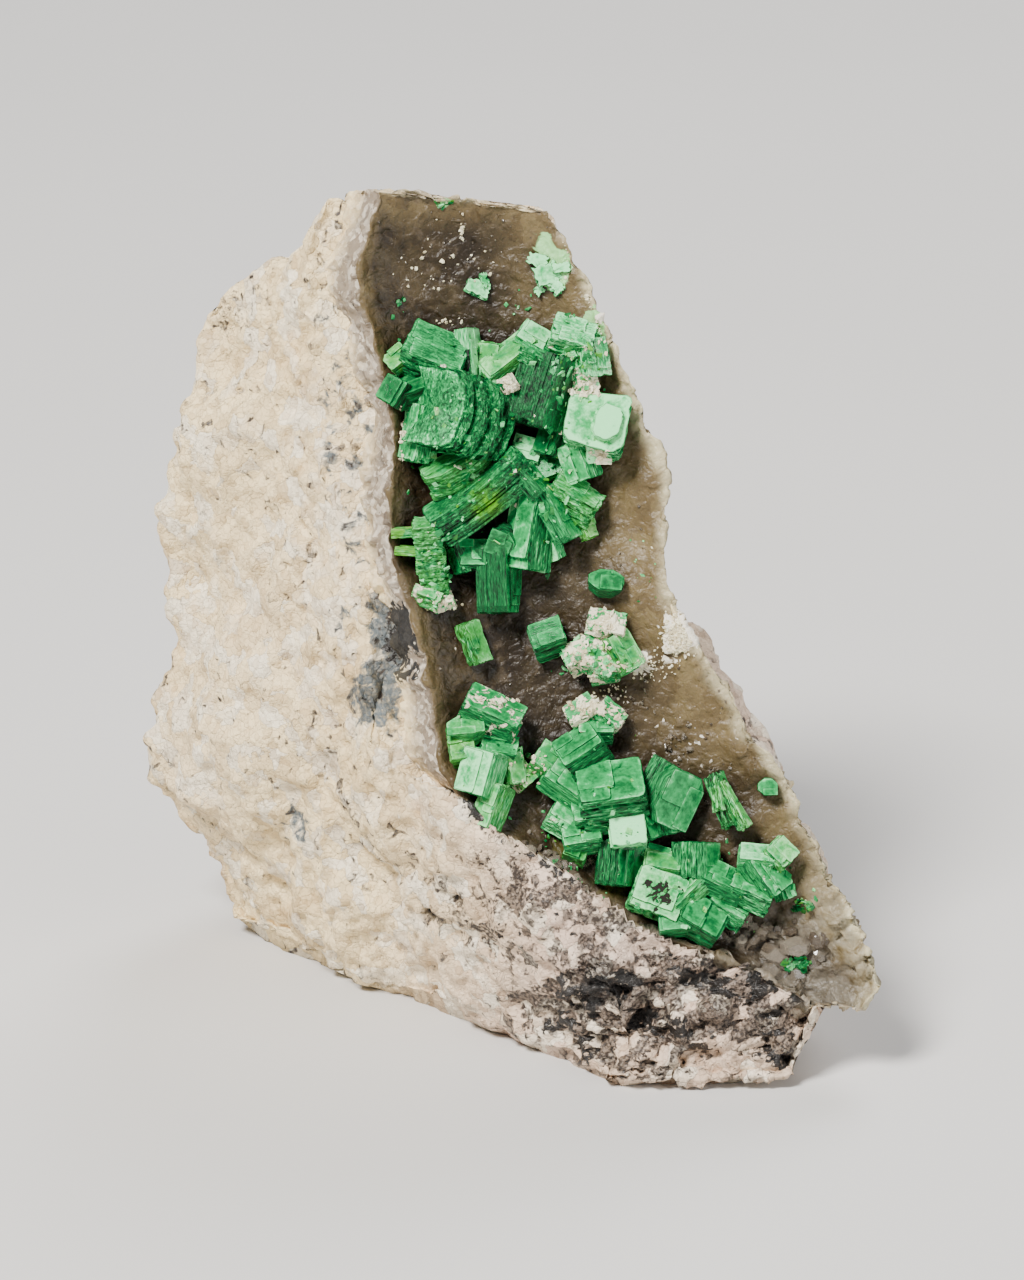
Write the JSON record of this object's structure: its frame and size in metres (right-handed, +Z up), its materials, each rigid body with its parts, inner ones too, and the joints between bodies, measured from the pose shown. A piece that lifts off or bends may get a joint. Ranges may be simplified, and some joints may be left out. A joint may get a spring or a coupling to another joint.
{
  "type": "torbernite on matrix mineral specimen",
  "caption": "Upright broken granite piece whose leaning hollowed front, coated with smoky quartz, carries clusters of green torbernite tablets.",
  "frame": {"origin": "middle of the specimen's bounding box, on the surface it stands on", "axes": "+Z up, the specimen's tallest extent; the crusted front faces -Y and leans back; +X to the right seen from the front"},
  "size_m": [0.0383, 0.0286, 0.0427],
  "materials": {
    "granite": "matte",
    "smoky_quartz": "satin",
    "torbernite": "satin"
  },
  "bodies": {
    "root": {"granite_matrix": "granite", "smoky_quartz_crust": "smoky_quartz", "torbernite_upper_cluster": "torbernite", "torbernite_middle_cluster": "torbernite", "torbernite_lower_cluster": "torbernite", "torbernite_octagon_crystal": "torbernite", "torbernite_shard_crystal": "torbernite", "torbernite_pitted_crystal": "torbernite", "torbernite_flake_left": "torbernite", "torbernite_flake_right": "torbernite", "torbernite_flake_low": "torbernite"}
  },
  "joints": []
}
